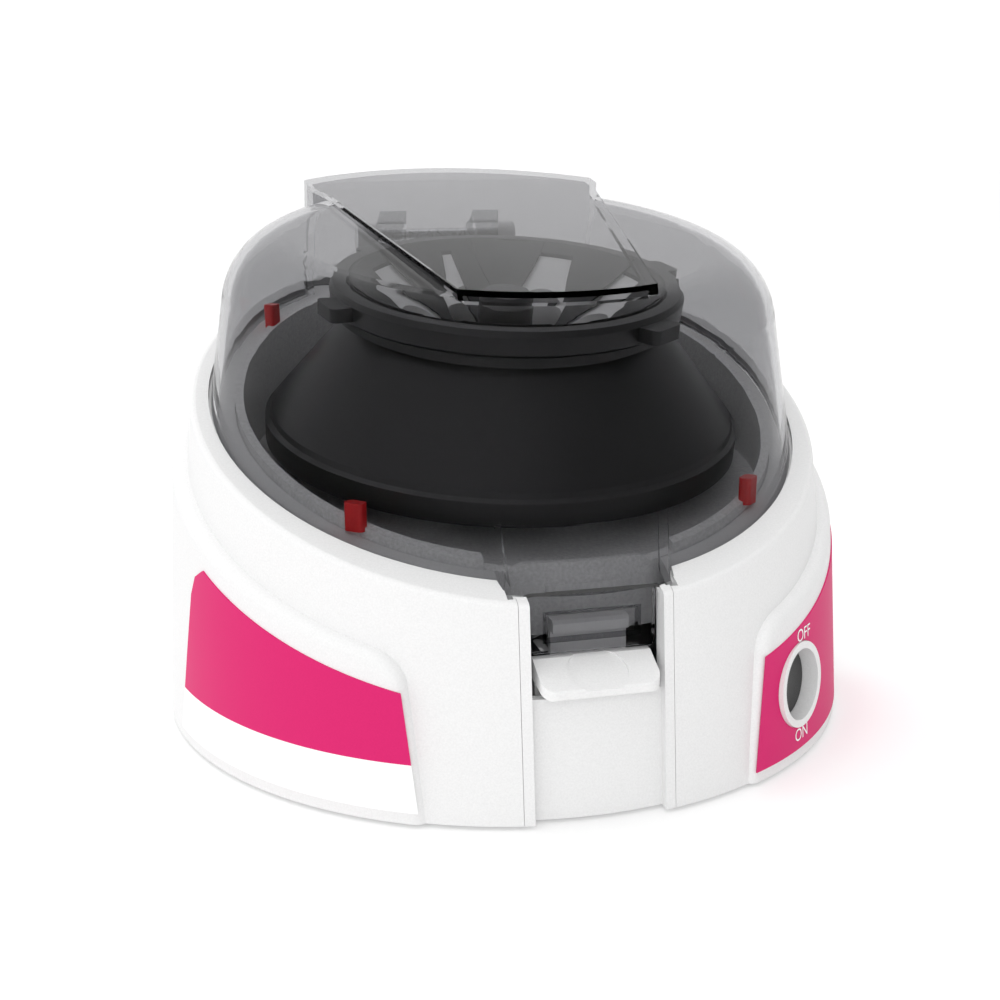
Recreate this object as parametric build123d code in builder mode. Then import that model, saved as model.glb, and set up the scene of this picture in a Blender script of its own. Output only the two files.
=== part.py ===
from build123d import *
import math
import os

os.makedirs("parts", exist_ok=True)

# Frame: Z up, the front of the centrifuge looks along -Y, all lengths in mm.

# Outer housing: a round base that rises into a slanted shoulder.
HOUSING_BOTTOM = 0.8
BODY_R = 76.0
RIM_Z = 68.5
RIM_SLOPE = 0.37
RING_IN_X = 7.0
RING_IN_Y = 4.7
RING_RX = BODY_R - RING_IN_X
RING_RY = BODY_R - RING_IN_Y
FAR = 2 * BODY_R
WALL = 2.5
SHOULDER_DROP = 1.4
SHOULDER_THICK = 2.2
SEAT_PLAY = 0.5
RIM_ROUND = 1.2

# Raised label pads on both sides of the front strip.
PAD_PROUD = 1.0
PAD_TOP_OUT_X = 4.7
PAD_TOP_OUT_Y = 3.6
PAD_R = BODY_R + PAD_PROUD
PAD_TOP_RX = RING_RX + PAD_TOP_OUT_X
PAD_TOP_RY = RING_RY + PAD_TOP_OUT_Y
PAD_TOP_Z = 55.6
PAD_FRONT_X = 31.2
PAD_FRONT_LEAN = 0.11
PAD_CORNER = 6.0
PAD_ROUND = 2.4

# Front strip with two ribs and a shallow channel between them.
STRIP_X = 15.1
STRIP_FIT = 0.1
RECESS_X = 16.6
CHANNEL_X = 13.0
CHANNEL_DEPTH = 2.4
PANEL_THICK = 4.4
PANEL_FLANGE_X = 19.0
PANEL_OPEN_Z = 24.0
STRIP_DEEP = 21.0
STRIP_BACK_Y = STRIP_DEEP - BODY_R
RECESS_DEEP = 8.0
RECESS_Y = RECESS_DEEP - BODY_R

# Lid: thin smoked dome with a raised spine over the middle.
LID_INSET_X = 4.3
LID_INSET_Y = 6.3
FOOT_RX = RING_RX - LID_INSET_X
FOOT_RY = RING_RY - LID_INSET_Y
FOOT_CY = 0.64
FOOT_GAP = 0.2
TOP_Z = 103.9
TOP_SLOPE = 0.187
TOP_IN_X = 5.7
TOP_IN_Y = 6.9
TOP_RX = FOOT_RX - TOP_IN_X
TOP_RY = FOOT_RY - TOP_IN_Y
TOP_CY = 2.5
LID_WALL = 1.8
LID_LEAN = 0.17
SPINE_LEAN = 0.36
LID_ROUND = 16.0
SPINE_PROUD = 2.6
SPINE_TOP_Z = 105.0
SPINE_TOP_SLOPE = 0.178
SPINE_IN_X = 7.5
SPINE_IN_Y = 8.6
SPINE_TOP_RX = FOOT_RX - SPINE_IN_X
SPINE_TOP_RY = FOOT_RY - SPINE_IN_Y
SPINE_TOP_CY = 9.4
SPINE_TIP_IN = 6.0
SPINE_PLAN = [(15.3, SPINE_TIP_IN - BODY_R), (19.6, -47), (34.0, 38), (37.0, 47), (37.0, BODY_R)]
TONGUE_X = 12.4
TONGUE_LOW = 31.3
TONGUE_THICK = 1.6
TONGUE_BAR = 3.0
WINDOW_X = 9.0
WINDOW_TOP = 39.4

# Hinge at the back of the shoulder.
HINGE_OUT = 1.1
HINGE_Y = RING_RY + HINGE_OUT
HINGE_Z = 98.4
HINGE_PIN_R = 1.5
HINGE_EAR_R = 3.2
LID_EAR_X0 = 9.0
LID_EAR_X1 = 16.0
BODY_EAR_X0 = 16.3
BODY_EAR_X1 = 21.5
PIN_FIT = 0.05

# Chamber bowl: an upright ring whose floor lies square to the tilted rotor.
BOWL_INSET = 7.1
BOWL_R = FOOT_RX - BOWL_INSET
BOWL_CY = -0.7
BOWL_WALL = 1.8
BOWL_FIT = 0.1
LIP_Z = 69.2
BOWL_FLANGE = 4.0
BOWL_FLANGE_THICK = 2.0
BOWL_FLOOR_H = -7.0
BOWL_FLOOR_THICK = 2.0
FRONT_WALL_OUT = 1.1
FRONT_WALL_R = BOWL_R + BOWL_WALL + FRONT_WALL_OUT
FRONT_WALL_Y = BOWL_CY - FRONT_WALL_R
FRONT_WALL_X = 14.9
FRONT_WALL_TOP = 47.4
FRONT_WALL_LOW = 33.2
FRONT_WALL_THICK = 1.6
RIB_LOW = 42.0
RIB_TALL = 1.2
FRONT_WALL_CORNER = 4.5
LIP_GAP_X0 = -18.5
LIP_GAP_X1 = 19.5

# Rotor axis, tilted toward the front; h runs along it from the bell's rim.
AXIS_TILT = 9.55
AXIS_Y = 1.75
AXIS_Z = 60.0
BELL_PLAY = 4.6
BELL_R = BOWL_R - BELL_PLAY
BELL_BAND = 5.0
NECK_R = 35.0
NECK_H = 26.5
FLANGE_R = 38.6
FLANGE_H = 35.0
FLANGE_IN_R = 34.2
BELL_WALL = 1.8
LUG_ANGLES = (-104.0, -36.0, 76.0, 144.0)
LUG_REACH_R = 42.8
LUG_WIDE = 9.0
LUG_H = 30.8
LUG_TALL = 3.0
DISH_SLOPE = 40.0
DISH_OUT_R = 34.15
DISH_EDGE_R = 32.5
DISH_IN_R = 12.0
DISH_THICK = 1.7
LEDGE_H = 32.2
POCKETS = 8
POCKET_R = 5.6
POCKET_SLEEVE_R = 6.7
POCKET_AT_R = 20.3
POCKET_LENGTH = 30.0
SLEEVE_END = 1.2
SLEEVE_HOLE_R = 1.5
WEB_ANGLE = 14.6
WEB_TOP_W = 12.6
WEB_LOW_W = 2.2
WEB_LOW_R = 14.0
WEB_THICK = 0.9
HUB_R = 6.0
HUB_LOW = -4.0
HUB_TOP = 19.0
CAP_TOP = 32.0
SHAFT_R = 2.5
SHAFT_FIT = 0.03
SHAFT_TOP = 27.0
SHAFT_LOW = -51.0

# Motor and its soft mounting under the bowl.
MOTOR_R = 18.0
MOTOR_TOP = -15.5
MOTOR_LOW = -48.0
MOUNT_AT_R = 25.0
MOUNT_BOSS_R = 4.0
MOUNT_BOSS_LOW = -12.0
GROMMET_R = 4.4
GROMMET_THICK = 2.0
MOTOR_PLATE_R = 30.0

# Latch lever: a tab in the strip and a tall plate with a hook behind the lid's tongue.
LEVER_IN = 11.0
LEVER_PIVOT_Y = LEVER_IN - BODY_R
LEVER_PIVOT_Z = 14.0
LEVER_BARREL_R = 2.6
LEVER_PIN_R = 1.2
LEVER_SETBACK = 0.2
LEVER_FRONT = LEVER_PIVOT_Y + LEVER_SETBACK
LEVER_THICK = 1.6
LEVER_X = 10.5
HOOK_X = 7.5
HOOK_Z0 = 35.3
HOOK_Z1 = 37.7
HOOK_REACH = 1.7
HOOK_NOSE = 0.6
HOOK_FRONT = LEVER_FRONT - HOOK_REACH
TAB_X = 11.6
TAB_REACH = 10.4
TAB_FRONT = LEVER_FRONT - TAB_REACH
TAB_ROOT_Z = 30.9
TAB_DROP = 3.6
TAB_CORNER = 3.0
DIMPLE_R = 5.8
DIMPLE_DEEP = 0.3

# Switch on the right pad.
SWITCH_ANGLE = 38.8
SWITCH_Z = 16.7
SWITCH_IN = 1.4
SWITCH_FACE_R = PAD_R - SWITCH_IN
SWITCH_LEAN = 5.0
SWITCH_RING_R = 8.9
SWITCH_TUBE_R = 8.2
SWITCH_WELL_R = 7.4
SWITCH_BACK = 15.0
ROCKER_R = 6.9
ROCKER_SUNK = 4.2
ROCKER_REST = 8.0
ROCKER_AXLE_R = 1.0

# Red bumpers.
BUMPER_ANGLES = (-43.0, 43.0, -126.0, 126.0)
BUMPER_R = BOWL_R + BOWL_WALL
BUMPER_WIDE = 4.2
BUMPER_DEEP = 2.6
BUMPER_TALL = 5.6

# Bottom plate, feet, posts and screws.
PLATE_IN = 3.1
PLATE_R = BODY_R - PLATE_IN
PLATE_LOW = 1.4
PLATE_THICK = 2.2
FOOT_R = 6.0
FOOT_AT = 44.0
FOOT_STEM_R = 2.0
POST_R = 3.6
POST_IN = 7.6
POST_AT_R = BODY_R - POST_IN
POST_ANGLES = (60.0, 140.0, 220.0, 300.0)
POST_TOP = 32.0
SCREW_R = 1.25
SCREW_HEAD_R = 2.6
SCREW_HEAD = 1.2
SCREW_LENGTH = 12.0

# Power inlet.
INLET_Z = 24.0
INLET_R = 6.0
INLET_BORE_R = 4.6
INLET_PROUD = 0.6
INLET_FACE = PAD_R + INLET_PROUD

# Label skins.
SKIN = 0.3
LABEL_LOW = 3.1
LABEL_TOP_Z = 50.4
LABEL_FRONT_X = 33.8
BAND_Z = 12.5


def slant(height, slope):
    """Plane through (0, 0, height) that climbs toward the back."""
    angle = math.atan(slope)
    return Plane(
        origin=(0, 0, height),
        x_dir=(1, 0, 0),
        z_dir=(0, -math.sin(angle), math.cos(angle)),
    )


def slant_ellipse(rx, ry, centre_y, slope):
    """Ellipse whose plan view has the half widths rx and ry."""
    stretch = math.sqrt(1 + slope * slope)
    with Locations((0, centre_y * stretch)):
        Ellipse(rx, ry * stretch)


def tower(grow, top_z, top_drop):
    """Housing outline grown by a distance, up to a plane under the rim."""
    with BuildPart() as body:
        with BuildSketch(Plane.XY.offset(HOUSING_BOTTOM)):
            Ellipse(BODY_R + grow, BODY_R + grow + 0.01)
        with BuildSketch(slant(top_z - top_drop, RIM_SLOPE)):
            slant_ellipse(RING_RX + grow, RING_RY + grow, 0, RIM_SLOPE)
        loft(ruled=True)
    return body.part


def rounded_tower():
    """Housing outline whose shoulder has a rounded outer edge."""
    with BuildPart() as body:
        add(tower(0, RIM_Z, 0))
        fillet(body.faces().sort_by(Axis.Z)[-1].edges(), RIM_ROUND)
    return body.part


def pad_body(grow):
    """Solid whose side is the pad surface, grown by a distance."""
    with BuildPart() as body:
        with BuildSketch(Plane.XY.offset(HOUSING_BOTTOM)):
            Ellipse(PAD_R + grow, PAD_R + grow + 0.01)
        with BuildSketch(slant(PAD_TOP_Z, RIM_SLOPE)):
            slant_ellipse(PAD_TOP_RX + grow, PAD_TOP_RY + grow, 0, RIM_SLOPE)
        loft(ruled=True)
    return body.part


def upright(sketch_radius_x, sketch_radius_y, centre_y, low, high):
    """Upright elliptical column."""
    with BuildPart() as body:
        with BuildSketch(Plane.XY.offset(low)):
            with Locations((0, centre_y)):
                Ellipse(sketch_radius_x, sketch_radius_y)
        extrude(amount=high - low)
    return body.part


def above(solid, height, slope):
    """The part of a solid above a slanted plane."""
    return split(solid, bisect_by=slant(height, slope), keep=Keep.TOP, mode=Mode.PRIVATE)


def below(solid, height, slope):
    """The part of a solid under a slanted plane."""
    return split(solid, bisect_by=slant(height, slope), keep=Keep.BOTTOM, mode=Mode.PRIVATE)


def block(x0, x1, y0, y1, z0, z1):
    """Plain box between two corners."""
    solid = Box(x1 - x0, y1 - y0, z1 - z0, mode=Mode.PRIVATE)
    return Pos((x0 + x1) / 2, (y0 + y1) / 2, (z0 + z1) / 2) * solid


def side_prism(points, x0, x1):
    """Outline given as (y, z) points, extruded along X."""
    with BuildPart() as body:
        with BuildSketch(Plane.YZ.offset(x0)):
            with BuildLine():
                Polyline(*points, close=True)
            make_face()
        extrude(amount=x1 - x0)
    return body.part


def front_prism(points, y0, y1):
    """Outline given as (x, z) points, extruded along Y."""
    with BuildPart() as body:
        with BuildSketch(Plane(origin=(0, y0, 0), x_dir=(1, 0, 0), z_dir=(0, -1, 0))):
            with BuildLine():
                Polyline(*points, close=True)
            make_face()
        extrude(amount=y0 - y1)
    return body.part


def plan_prism(points, z0, z1):
    """Outline given as (x, y) points, extruded along Z."""
    with BuildPart() as body:
        with BuildSketch(Plane.XY.offset(z0)):
            with BuildLine():
                Polyline(*points, close=True)
            make_face()
        extrude(amount=z1 - z0)
    return body.part


def rotor_plane(height):
    """Plane square to the rotor axis at a height along it."""
    tilt = math.radians(AXIS_TILT)
    return Plane(
        origin=(0, AXIS_Y - height * math.sin(tilt), AXIS_Z + height * math.cos(tilt)),
        x_dir=(1, 0, 0),
        z_dir=(0, -math.sin(tilt), math.cos(tilt)),
    )


def spun(points):
    """Solid of revolution about the rotor axis from (radius, height) points."""
    tilt = math.radians(AXIS_TILT)
    profile_plane = Plane(
        origin=(0, AXIS_Y, AXIS_Z),
        x_dir=(1, 0, 0),
        z_dir=(0, -math.cos(tilt), -math.sin(tilt)),
    )
    axis = Axis((0, AXIS_Y, AXIS_Z), (0, -math.sin(tilt), math.cos(tilt)))
    with BuildPart() as body:
        with BuildSketch(profile_plane):
            with BuildLine():
                Polyline(*points, close=True)
            make_face()
        revolve(axis=axis, revolution_arc=360)
    return body.part


def rotor_rod(radius, low, high, at_r=0.0, angle=0.0):
    """Cylinder parallel to the rotor axis."""
    turn = math.radians(angle)
    with BuildPart() as body:
        with BuildSketch(rotor_plane(low)):
            with Locations((at_r * math.sin(turn), at_r * math.cos(turn))):
                Circle(radius)
        extrude(amount=high - low)
    return body.part


def x_rod(radius, y, z, x0, x1):
    """Cylinder along X."""
    with BuildPart() as body:
        with BuildSketch(Plane.YZ.offset(x0)):
            with Locations((y, z)):
                Circle(radius)
        extrude(amount=x1 - x0)
    return body.part


def y_rod(radius, x, z, y0, y1):
    """Cylinder along Y."""
    with BuildPart() as body:
        with BuildSketch(Plane(origin=(0, y0, 0), x_dir=(-1, 0, 0), z_dir=(0, 1, 0))):
            with Locations((-x, z)):
                Circle(radius)
        extrude(amount=y1 - y0)
    return body.part


def z_rod(radius, x, y, z0, z1):
    """Cylinder along Z."""
    with BuildPart() as body:
        with BuildSketch(Plane.XY.offset(z0)):
            with Locations((x, y)):
                Circle(radius)
        extrude(amount=z1 - z0)
    return body.part


SHOULDER_TOP = RIM_Z - SHOULDER_DROP
SHOULDER_LOW = SHOULDER_TOP - SHOULDER_THICK
INNER_DROP = RIM_Z - SHOULDER_LOW
post_spots = [
    (POST_AT_R * math.sin(math.radians(a)), -POST_AT_R * math.cos(math.radians(a)))
    for a in POST_ANGLES
]
spine_outline = [(-x, y) for x, y in SPINE_PLAN] + [(x, y) for x, y in reversed(SPINE_PLAN)]

switch_turn = math.radians(SWITCH_ANGLE)
switch_out = (math.sin(switch_turn), -math.cos(switch_turn))


def switch_plane(offset):
    """Plane square to the switch axis, a distance out from the pad."""
    lean = math.radians(SWITCH_LEAN)
    reach = SWITCH_FACE_R + offset * math.cos(lean)
    return Plane(
        origin=(reach * switch_out[0], reach * switch_out[1],
                SWITCH_Z + offset * math.sin(lean)),
        x_dir=(math.cos(switch_turn), math.sin(switch_turn), 0),
        z_dir=(switch_out[0] * math.cos(lean), switch_out[1] * math.cos(lean),
               math.sin(lean)),
    )


def switch_rod(radius, inner, outer):
    """Cylinder on the switch axis."""
    with BuildPart() as body:
        with BuildSketch(switch_plane(inner)):
            Circle(radius)
        extrude(amount=outer - inner)
    return body.part


# Housing shell.
pad_half = PAD_FRONT_X + PAD_FRONT_LEAN * 60
with BuildPart() as pads:
    add(pad_body(0))
    add(
        front_prism(
            [(-PAD_FRONT_X, -1), (PAD_FRONT_X, -1), (pad_half, 60), (-pad_half, 60)],
            0,
            -FAR,
        ),
        mode=Mode.SUBTRACT,
    )
    corners = [
        edge
        for edge in pads.edges().filter_by(GeomType.LINE)
        if edge.bounding_box().size.Y > 50 and edge.bounding_box().max.Z > 50
    ]
    fillet(corners, PAD_CORNER)
    borders = [
        edge
        for edge in pads.edges()
        if edge.geom_type != GeomType.LINE
        and edge.bounding_box().min.Y < -50
        and edge.center().Z > 3
    ]
    fillet(borders, PAD_ROUND)

with BuildPart() as housing_shell:
    add(rounded_tower())
    add(pads.part)
    add(tower(-WALL, RIM_Z, INNER_DROP), mode=Mode.SUBTRACT)
    add(block(-FAR, FAR, -FAR, FAR, -5, HOUSING_BOTTOM), mode=Mode.SUBTRACT)
    add(upright(BOWL_R + BOWL_WALL + BOWL_FIT, BOWL_R + BOWL_WALL + BOWL_FIT + 0.01, BOWL_CY,
                30, 110), mode=Mode.SUBTRACT)
    add(
        above(
            upright(FOOT_RX + SEAT_PLAY, FOOT_RY + SEAT_PLAY, FOOT_CY, 20, 130),
            SHOULDER_TOP,
            RIM_SLOPE,
        ),
        mode=Mode.SUBTRACT,
    )
    spine_seat = upright(
        FOOT_RX + SPINE_PROUD + SEAT_PLAY,
        FOOT_RY + SPINE_PROUD + SEAT_PLAY,
        FOOT_CY,
        20,
        130,
    )
    wide_outline = [(x + math.copysign(0.6, x), y) for x, y in spine_outline]
    add(
        above(spine_seat & plan_prism(wide_outline, 10, 140), SHOULDER_TOP, RIM_SLOPE),
        mode=Mode.SUBTRACT,
    )
    add(block(-STRIP_X, STRIP_X, -FAR, STRIP_BACK_Y, -1, 80), mode=Mode.SUBTRACT)
    add(block(-RECESS_X, RECESS_X, RECESS_Y, STRIP_BACK_Y, 34, 80), mode=Mode.SUBTRACT)
    for spot in post_spots:
        post = z_rod(POST_R, spot[0], spot[1], PLATE_LOW + PLATE_THICK, POST_TOP)
        add(post & tower(-0.4, RIM_Z, 0))
        add(
            z_rod(SCREW_R + PIN_FIT, spot[0], spot[1], 0, SCREW_LENGTH + 3),
            mode=Mode.SUBTRACT,
        )
    ear_outline = [
        (HINGE_Y - HINGE_EAR_R, HINGE_Z),
        (HINGE_Y - HINGE_EAR_R, HINGE_Z - 5.5),
        (HINGE_Y - HINGE_EAR_R - 0.6, HINGE_Z - 6.5),
        (HINGE_Y - 1.8, HINGE_Z - 24),
        (HINGE_Y + HINGE_EAR_R, HINGE_Z - 7),
        (HINGE_Y + HINGE_EAR_R, HINGE_Z),
    ]
    for side in (-1, 1):
        x0 = min(side * BODY_EAR_X0, side * BODY_EAR_X1)
        x1 = max(side * BODY_EAR_X0, side * BODY_EAR_X1)
        add(side_prism(ear_outline, x0, x1))
        add(x_rod(HINGE_EAR_R, HINGE_Y, HINGE_Z, x0, x1))
        add(x_rod(HINGE_PIN_R + PIN_FIT, HINGE_Y, HINGE_Z, x0 - 1, x1 + 1), mode=Mode.SUBTRACT)
    add(switch_rod(SWITCH_TUBE_R + PIN_FIT, -12, 10), mode=Mode.SUBTRACT)
    add(y_rod(INLET_R + PIN_FIT, 0, INLET_Z, INLET_FACE - 18, FAR), mode=Mode.SUBTRACT)
housing_shell.part.label = "housing_shell"
export_step(housing_shell.part, "parts/housing_shell.step")

# Front strip.
with BuildPart() as front_panel:
    add(rounded_tower() & block(-STRIP_X + STRIP_FIT, STRIP_X - STRIP_FIT, -FAR, 0, 0, 90))
    add(
        tower(-WALL, RIM_Z, INNER_DROP)
        & block(-PANEL_FLANGE_X, PANEL_FLANGE_X, -FAR, 0, PLATE_LOW + PLATE_THICK, 90)
    )
    add(tower(-PANEL_THICK, RIM_Z, 0.0), mode=Mode.SUBTRACT)
    shallow = tower(3, RIM_Z, 0) - tower(-CHANNEL_DEPTH, RIM_Z, 0)
    add(shallow & block(-CHANNEL_X, CHANNEL_X, -FAR, 0, -5, 90), mode=Mode.SUBTRACT)
    add(block(-CHANNEL_X, CHANNEL_X, -FAR, 0, PANEL_OPEN_Z, 90), mode=Mode.SUBTRACT)
    add(block(-20, 20, -FOOT_RY - SPINE_PROUD, 0, 20, 90)
        & above(block(-20, 20, -FAR, 0, 0, 90), SHOULDER_TOP, RIM_SLOPE), mode=Mode.SUBTRACT)
    for side in (-1, 1):
        x0 = min(side * 11.2, side * 14.0)
        x1 = max(side * 11.2, side * 14.0)
        lug = side_prism(
            [
                (LEVER_PIVOT_Y - 8, LEVER_PIVOT_Z - 6),
                (LEVER_PIVOT_Y + 2.6, LEVER_PIVOT_Z - 2),
                (LEVER_PIVOT_Y + 2.6, LEVER_PIVOT_Z + 2.4),
                (LEVER_PIVOT_Y - 8, LEVER_PIVOT_Z + 5),
            ],
            x0,
            x1,
        )
        add(lug & tower(-CHANNEL_DEPTH - 0.2, RIM_Z, 0))
        add(
            x_rod(LEVER_PIN_R + PIN_FIT, LEVER_PIVOT_Y, LEVER_PIVOT_Z, x0 - 1, x1 + 1),
            mode=Mode.SUBTRACT,
        )
front_panel.part.label = "front_panel"
export_step(front_panel.part, "parts/front_panel.step")

# Bottom plate.
with BuildPart() as bottom_plate:
    with BuildSketch(Plane.XY.offset(PLATE_LOW)):
        Circle(PLATE_R)
        with Locations((0, -BODY_R)):
            Rectangle(2 * STRIP_X + 0.4, 2 * (PANEL_THICK + 2.1), mode=Mode.SUBTRACT)
    extrude(amount=PLATE_THICK)
    with BuildSketch(Plane.XY.offset(PLATE_LOW)):
        for spot in post_spots:
            with Locations(spot):
                Circle(SCREW_R + 0.3)
        with GridLocations(2 * FOOT_AT, 2 * FOOT_AT, 2, 2):
            Circle(FOOT_STEM_R + PIN_FIT)
        with GridLocations(6, 0.1, 7, 1):
            SlotOverall(26, 2.4, rotation=90)
    extrude(amount=PLATE_THICK, mode=Mode.SUBTRACT)
    with BuildSketch(Plane.XY.offset(PLATE_LOW)):
        for spot in post_spots:
            with Locations(spot):
                Circle(SCREW_HEAD_R + 0.3)
    extrude(amount=SCREW_HEAD, mode=Mode.SUBTRACT)
bottom_plate.part.label = "bottom_plate"
export_step(bottom_plate.part, "parts/bottom_plate.step")

with BuildPart() as rubber_feet:
    with BuildSketch(Plane.XY):
        with GridLocations(2 * FOOT_AT, 2 * FOOT_AT, 2, 2):
            Circle(FOOT_R)
    extrude(amount=PLATE_LOW, taper=-8)
    with BuildSketch(Plane.XY.offset(PLATE_LOW)):
        with GridLocations(2 * FOOT_AT, 2 * FOOT_AT, 2, 2):
            Circle(FOOT_STEM_R)
    extrude(amount=PLATE_THICK)
rubber_feet.part.label = "rubber_feet"
export_step(rubber_feet.part, "parts/rubber_feet.step")

with BuildPart() as housing_screws:
    for spot in post_spots:
        add(z_rod(SCREW_HEAD_R, spot[0], spot[1], PLATE_LOW, PLATE_LOW + SCREW_HEAD))
        add(z_rod(SCREW_R, spot[0], spot[1], PLATE_LOW, PLATE_LOW + SCREW_LENGTH))
housing_screws.part.label = "housing_screws"
export_step(housing_screws.part, "parts/housing_screws.step")

# Chamber bowl.
tilt_slope = math.tan(math.radians(AXIS_TILT))
floor_z = AXIS_Z + BOWL_FLOOR_H / math.cos(math.radians(AXIS_TILT)) - AXIS_Y * tilt_slope
floor_drop = BOWL_FLOOR_THICK / math.cos(math.radians(AXIS_TILT))
wall_in_r = FRONT_WALL_R - FRONT_WALL_THICK
with BuildPart() as front_wall:
    add(block(-FRONT_WALL_X, FRONT_WALL_X, -FAR, -40, FRONT_WALL_LOW, FRONT_WALL_TOP))
    fillet(front_wall.edges().filter_by(Axis.Y).sort_by(Axis.Z)[-2:], FRONT_WALL_CORNER)
    add(upright(FRONT_WALL_R, FRONT_WALL_R + 0.01, BOWL_CY, 20, 120), mode=Mode.INTERSECT)
    add(
        upright(wall_in_r, wall_in_r + 0.01, BOWL_CY, 20, 120),
        mode=Mode.SUBTRACT,
    )
with BuildPart() as chamber_bowl:
    outer_r = BOWL_R + BOWL_WALL
    add(above(below(upright(outer_r, outer_r + 0.01, BOWL_CY, 20, 120), LIP_Z, RIM_SLOPE),
              floor_z - floor_drop, tilt_slope))
    rim = upright(outer_r + BOWL_FLANGE, outer_r + BOWL_FLANGE + 0.01, BOWL_CY, 20, 120)
    rim = above(below(rim, SHOULDER_LOW, RIM_SLOPE), SHOULDER_LOW - BOWL_FLANGE_THICK, RIM_SLOPE)
    add(rim - block(-17.5, 17.5, -FAR, 0, 0, 130))
    add(above(upright(BOWL_R, BOWL_R + 0.01, BOWL_CY, 20, 120), floor_z, tilt_slope),
        mode=Mode.SUBTRACT)
    lip_cut = above(
        block(LIP_GAP_X0, LIP_GAP_X1, -FAR, -40, 20, 80), SHOULDER_TOP + 0.1, RIM_SLOPE
    )
    add(lip_cut, mode=Mode.SUBTRACT)
    add(front_wall.part)
    add(block(-HOOK_X, HOOK_X, FRONT_WALL_Y - 0.4, FRONT_WALL_Y + 1, RIB_LOW, RIB_LOW + RIB_TALL))
    for index in range(3):
        add(rotor_rod(MOUNT_BOSS_R, MOUNT_BOSS_LOW, BOWL_FLOOR_H - 1, MOUNT_AT_R, 120 * index))
        add(
            rotor_rod(SCREW_R + PIN_FIT, MOUNT_BOSS_LOW - 1, BOWL_FLOOR_H - 1.2, MOUNT_AT_R,
                      120 * index),
            mode=Mode.SUBTRACT,
        )
    add(rotor_rod(SHAFT_R + 1.5, -20, 0), mode=Mode.SUBTRACT)
chamber_bowl.part.label = "chamber_bowl"
export_step(chamber_bowl.part, "parts/chamber_bowl.step")

# Motor and mounting.
GROMMET_LOW = MOUNT_BOSS_LOW - GROMMET_THICK
with BuildPart() as motor_grommets:
    for index in range(3):
        add(rotor_rod(GROMMET_R, GROMMET_LOW, MOUNT_BOSS_LOW, MOUNT_AT_R, 120 * index))
        add(
            rotor_rod(SCREW_R + PIN_FIT, GROMMET_LOW - 1, MOUNT_BOSS_LOW + 1, MOUNT_AT_R,
                      120 * index),
            mode=Mode.SUBTRACT,
        )
motor_grommets.part.label = "motor_grommets"
export_step(motor_grommets.part, "parts/motor_grommets.step")

with BuildPart() as motor_plate:
    add(rotor_rod(MOTOR_PLATE_R, MOTOR_TOP, GROMMET_LOW))
    add(rotor_rod(SHAFT_R + 1.5, MOTOR_TOP - 1, GROMMET_LOW + 1), mode=Mode.SUBTRACT)
    for index in range(3):
        add(
            rotor_rod(SCREW_R + PIN_FIT, MOTOR_TOP - 1, GROMMET_LOW + 1, MOUNT_AT_R,
                      120 * index),
            mode=Mode.SUBTRACT,
        )
        add(
            rotor_rod(6.5, MOTOR_TOP - 1, GROMMET_LOW + 1, MOTOR_PLATE_R, 120 * index + 60),
            mode=Mode.SUBTRACT,
        )
motor_plate.part.label = "motor_plate"
export_step(motor_plate.part, "parts/motor_plate.step")

with BuildPart() as motor_screws:
    for index in range(3):
        add(rotor_rod(SCREW_HEAD_R, MOTOR_TOP - 1.6, MOTOR_TOP, MOUNT_AT_R, 120 * index))
        add(rotor_rod(SCREW_R, MOTOR_TOP - 1, BOWL_FLOOR_H - 1.6, MOUNT_AT_R, 120 * index))
motor_screws.part.label = "motor_screws"
export_step(motor_screws.part, "parts/motor_screws.step")

with BuildPart() as motor_can:
    add(
        spun(
            [
                (SHAFT_R + SHAFT_FIT, MOTOR_TOP),
                (MOTOR_R - 1, MOTOR_TOP),
                (MOTOR_R, MOTOR_TOP - 1),
                (MOTOR_R, MOTOR_LOW + 3),
                (MOTOR_R - 3, MOTOR_LOW),
                (SHAFT_R + SHAFT_FIT, MOTOR_LOW),
            ]
        )
    )
motor_can.part.label = "motor_can"
export_step(motor_can.part, "parts/motor_can.step")

with BuildPart() as motor_shaft:
    add(rotor_rod(SHAFT_R, SHAFT_LOW, SHAFT_TOP))
    chamfer(motor_shaft.edges().filter_by(GeomType.CIRCLE), 0.4)
motor_shaft.part.label = "motor_shaft"
export_step(motor_shaft.part, "parts/motor_shaft.step")

# Rotor bell.
with BuildPart() as rotor_bell:
    add(
        spun(
            [
                (BELL_R - BELL_WALL, 0),
                (BELL_R, 0),
                (BELL_R, BELL_BAND),
                (BELL_R - 1.0, BELL_BAND + 0.6),
                (BELL_R - 1.4, BELL_BAND + 1.8),
                (NECK_R, NECK_H),
                (NECK_R, NECK_H + 0.6),
                (FLANGE_R - 1.2, NECK_H + 1.4),
                (FLANGE_R - 0.9, NECK_H + 3.0),
                (FLANGE_R - 0.3, NECK_H + 3.6),
                (FLANGE_R, FLANGE_H - 1.2),
                (FLANGE_R - 0.8, FLANGE_H),
                (FLANGE_IN_R + 0.5, FLANGE_H),
                (FLANGE_IN_R, FLANGE_H - 0.6),
                (FLANGE_IN_R, LEDGE_H),
                (NECK_R - BELL_WALL - 0.4, LEDGE_H),
                (NECK_R - BELL_WALL - 0.4, NECK_H - 0.4),
                (BELL_R - BELL_WALL - 2.2, BELL_BAND + 1.4),
                (BELL_R - BELL_WALL, BELL_BAND - 0.6),
            ]
        )
    )
    for angle in LUG_ANGLES:
        with BuildSketch(rotor_plane(LUG_H)):
            with Locations(Rotation(0, 0, -angle)):
                with Locations((0, (FLANGE_R + LUG_REACH_R) / 2 - 1)):
                    RectangleRounded(LUG_WIDE, LUG_REACH_R - FLANGE_R + 2, 1.4)
        extrude(amount=LUG_TALL)
rotor_bell.part.label = "rotor_bell"
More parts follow.
